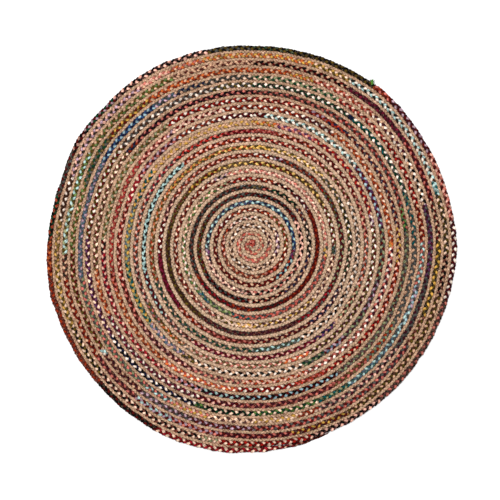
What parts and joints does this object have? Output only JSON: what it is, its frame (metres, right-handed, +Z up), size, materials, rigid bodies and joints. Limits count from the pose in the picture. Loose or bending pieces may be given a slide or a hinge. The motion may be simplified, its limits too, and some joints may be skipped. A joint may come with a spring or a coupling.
{
  "type": "round jute and cotton braided rug",
  "caption": "Flat round floor rug: a jute braid and a braid of cotton strips, coiled side by side and sewn edge to edge.",
  "frame": {"origin": "centre of the rug's bounding box, on the underside that lies on the floor", "axes": "+Z up through the rug's thickness, +Y to the side where each whole turn of the coil is counted, +X to the right of it seen from above"},
  "size_m": [1.2032, 1.195, 0.01],
  "materials": {
    "jute": "matt natural jute, plaited from three yarns",
    "cotton_strips": "matt strips of recycled cotton cloth in many colours, plaited in threes"
  },
  "bodies": {
    "root": {"jute_braid": "jute", "cotton_braid": "cotton_strips"}
  },
  "joints": []
}
